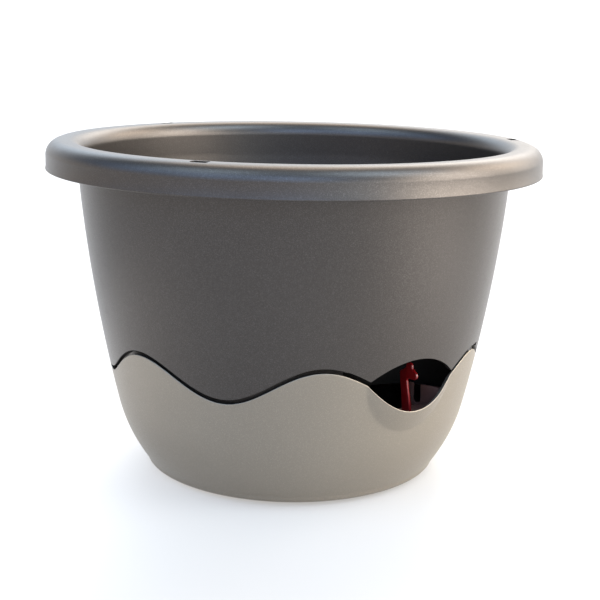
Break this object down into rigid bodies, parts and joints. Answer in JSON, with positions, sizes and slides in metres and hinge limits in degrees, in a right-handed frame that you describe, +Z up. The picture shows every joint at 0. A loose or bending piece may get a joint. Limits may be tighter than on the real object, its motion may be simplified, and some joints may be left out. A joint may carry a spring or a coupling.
{
  "type": "self watering planter",
  "caption": "Round self-watering planter with a rolled rim: a pot sits in a wave-edged water bowl with a filler opening and a red float indicator.",
  "frame": {"origin": "centre of the ring that the planter stands on, at floor level", "axes": "+Z up along the planter's axis, -Y towards its front, +X to its right; the filler opening is 37 degrees to the right of the front"},
  "size_m": [0.3, 0.3, 0.203],
  "materials": {
    "pot_plastic": "satin anthracite with a fine metallic flake",
    "bowl_plastic": "satin warm beige-grey",
    "guide_plastic": "plain dark moulded plastic",
    "red_plastic": "glossy red",
    "float_foam": "white closed-cell foam",
    "clip_plastic": "natural moulded plastic",
    "wick_textile": "needled capillary felt"
  },
  "bodies": {
    "reservoir": {"reservoir_bowl": "bowl_plastic"},
    "pot": {"pot": "pot_plastic", "indicator_guide": "guide_plastic", "wick_1": "wick_textile", "wick_2": "wick_textile", "wick_3": "wick_textile", "wick_4": "wick_textile"},
    "indicator": {"indicator_stem": "red_plastic", "indicator_float": "float_foam", "float_clip": "clip_plastic"}
  },
  "joints": [
    {"name": "pot_lift", "type": "slide", "parent": "reservoir", "child": "pot", "axis": [0, 0, 1], "range_m": [0, 0.1]},
    {"name": "indicator_rise", "type": "slide", "parent": "pot", "child": "indicator", "axis": [0, 0, 1], "range_m": [0, 0.018]}
  ]
}
